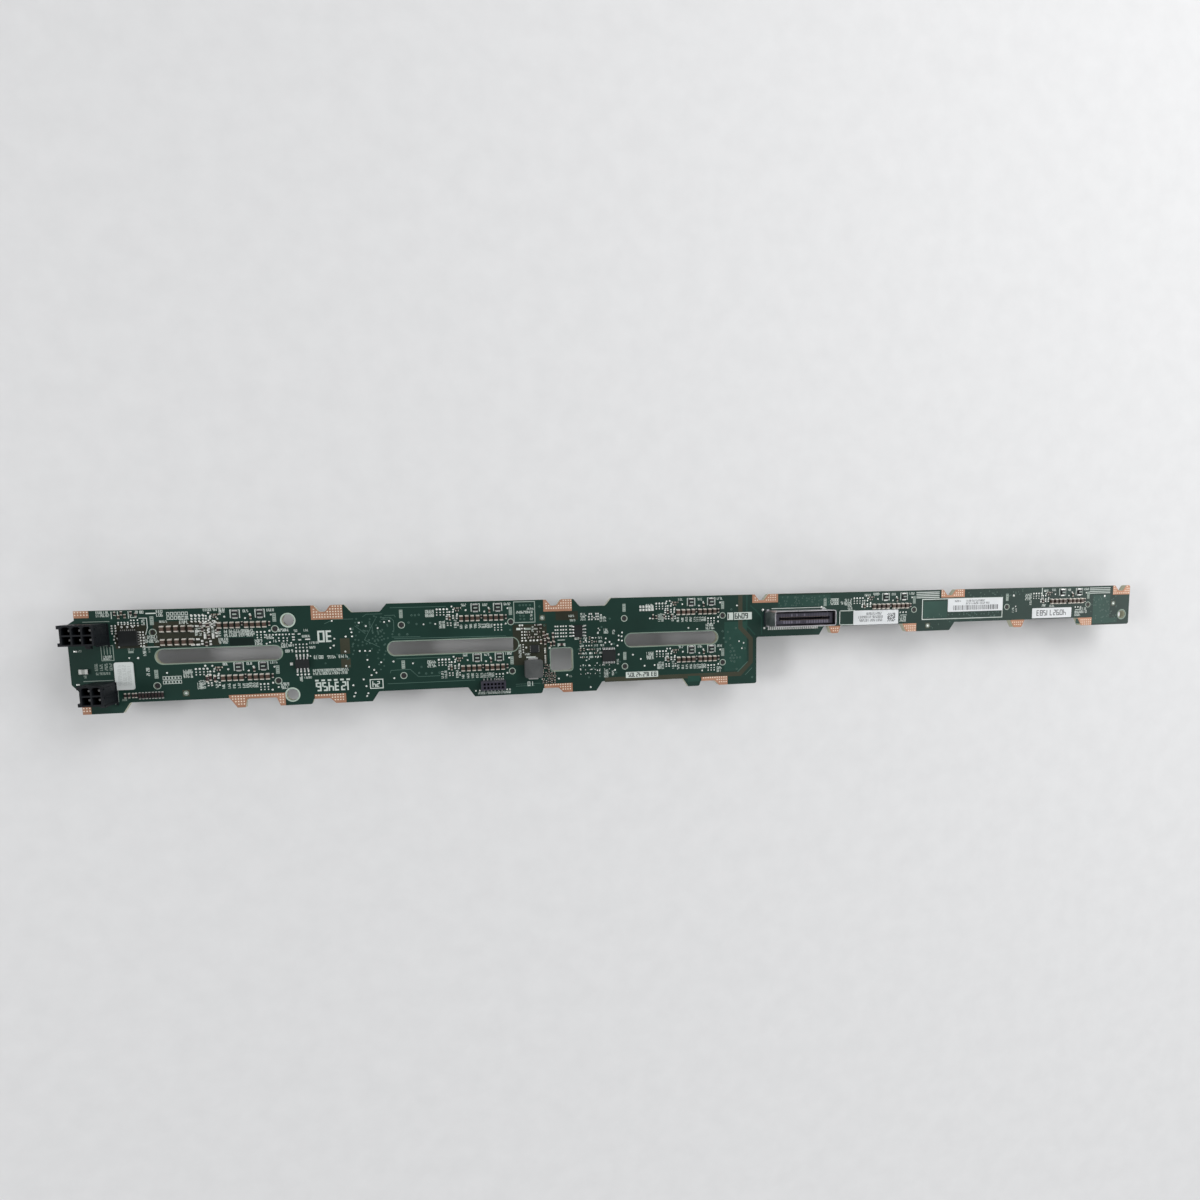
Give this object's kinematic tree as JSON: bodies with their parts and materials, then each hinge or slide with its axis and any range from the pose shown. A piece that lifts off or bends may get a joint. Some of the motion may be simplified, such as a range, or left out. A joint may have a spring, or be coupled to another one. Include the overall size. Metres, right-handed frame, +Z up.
{
  "type": "drive backplane board",
  "caption": "Long stepped circuit board for a one-unit server: drive receptacles underneath, power and data connectors, vents, ground lands and components on top.",
  "frame": {"origin": "on the resting plane, under the middle of the board's outline", "axes": "+X along the board from the power headers to the narrow end, +Y towards the long straight edge, +Z up out of the component side"},
  "size_m": [0.404, 0.034, 0.0235],
  "materials": {
    "board_green": "semi-gloss solder mask over glass-epoxy",
    "land_copper": "bare plated copper lands",
    "black_plastic": "moulded connector plastic",
    "contact_metal": "gold-flashed contacts",
    "tin_metal": "tinned pins, leads and terminals",
    "shell_steel": "formed sheet shell",
    "chip_epoxy": "moulded chip bodies",
    "ferrite_grey": "pressed powder core",
    "capacitor_brown": "fired ceramic with plated ends",
    "resistor_dark": "thick-film chips",
    "fuse_white": "ceramic chip with plated ends",
    "label_white": "printed paper label",
    "pad_white": "soft plain pad"
  },
  "bodies": {
    "root": {"backplane_board": "board_green", "ground_lands": "land_copper", "drive_receptacle_1": "black_plastic", "drive_contacts_1": "contact_metal", "drive_receptacle_2": "black_plastic", "drive_contacts_2": "contact_metal", "drive_receptacle_3": "black_plastic", "drive_contacts_3": "contact_metal", "drive_receptacle_4": "black_plastic", "drive_contacts_4": "contact_metal", "drive_receptacle_5": "black_plastic", "drive_contacts_5": "contact_metal", "drive_receptacle_6": "black_plastic", "drive_contacts_6": "contact_metal", "drive_receptacle_7": "black_plastic", "drive_contacts_7": "contact_metal", "drive_receptacle_8": "black_plastic", "drive_contacts_8": "contact_metal", "power_header_large": "black_plastic", "power_header_large_pins": "tin_metal", "power_header_small": "black_plastic", "power_header_small_pins": "tin_metal", "data_connector_shell": "shell_steel", "data_connector_housing": "black_plastic", "data_connector_contacts": "contact_metal", "sideband_header": "black_plastic", "sideband_leads": "tin_metal", "power_inductor": "ferrite_grey", "inductor_terminals": "tin_metal", "hot_swap_controller": "chip_epoxy", "hot_swap_controller_leads": "tin_metal", "temperature_sensor": "chip_epoxy", "temperature_sensor_leads": "tin_metal", "memory_chip": "chip_epoxy", "memory_chip_leads": "tin_metal", "logic_chip": "chip_epoxy", "logic_chip_leads": "tin_metal", "regulator_chip": "chip_epoxy", "regulator_chip_leads": "tin_metal", "bay_switches": "chip_epoxy", "bay_switch_leads": "tin_metal", "upper_bay_capacitors": "capacitor_brown", "lower_bay_capacitors": "capacitor_brown", "bulk_capacitors": "capacitor_brown", "chip_resistors": "resistor_dark", "chip_fuse": "fuse_white", "white_pad": "pad_white", "code_label": "label_white", "barcode_label": "label_white", "number_label": "label_white"}
  },
  "joints": []
}
